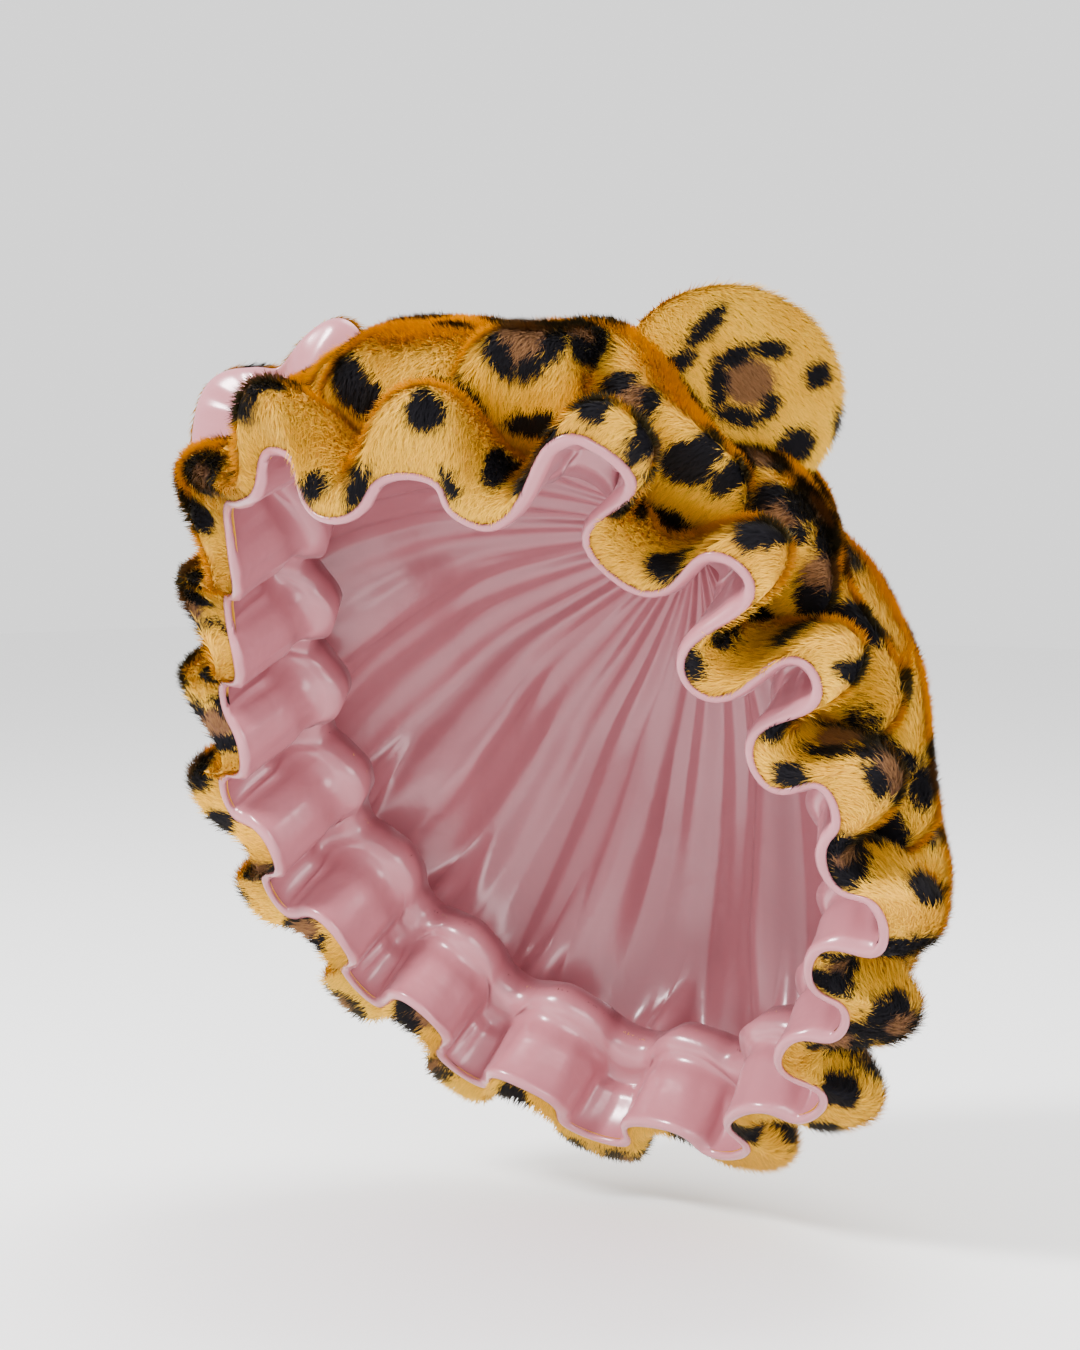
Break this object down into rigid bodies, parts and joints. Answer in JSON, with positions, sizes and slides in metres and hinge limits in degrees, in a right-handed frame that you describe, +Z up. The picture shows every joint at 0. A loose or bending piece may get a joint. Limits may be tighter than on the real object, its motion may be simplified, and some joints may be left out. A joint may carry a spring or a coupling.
{
  "type": "bonnet",
  "caption": "Gathered plush bonnet with a puffed crown, a curling face ruffle, a satin inside and round padded ears.",
  "frame": {"origin": "the top of the wearer's head, where the satin inside of the crown rests on it", "axes": "+Z up, the face looks along -Y, the wearer's left is +X"},
  "size_m": [0.2542, 0.2149, 0.271],
  "materials": {
    "leopard_plush": "short golden pile with a dark leopard print",
    "pink_satin": "smooth dusty pink satin with a sharp sheen"
  },
  "bodies": {
    "root": {"plush_shell": "leopard_plush", "satin_lining": "pink_satin", "ear_left_plush": "leopard_plush", "ear_left_satin": "pink_satin", "ear_right_plush": "leopard_plush", "ear_right_satin": "pink_satin"}
  },
  "joints": []
}
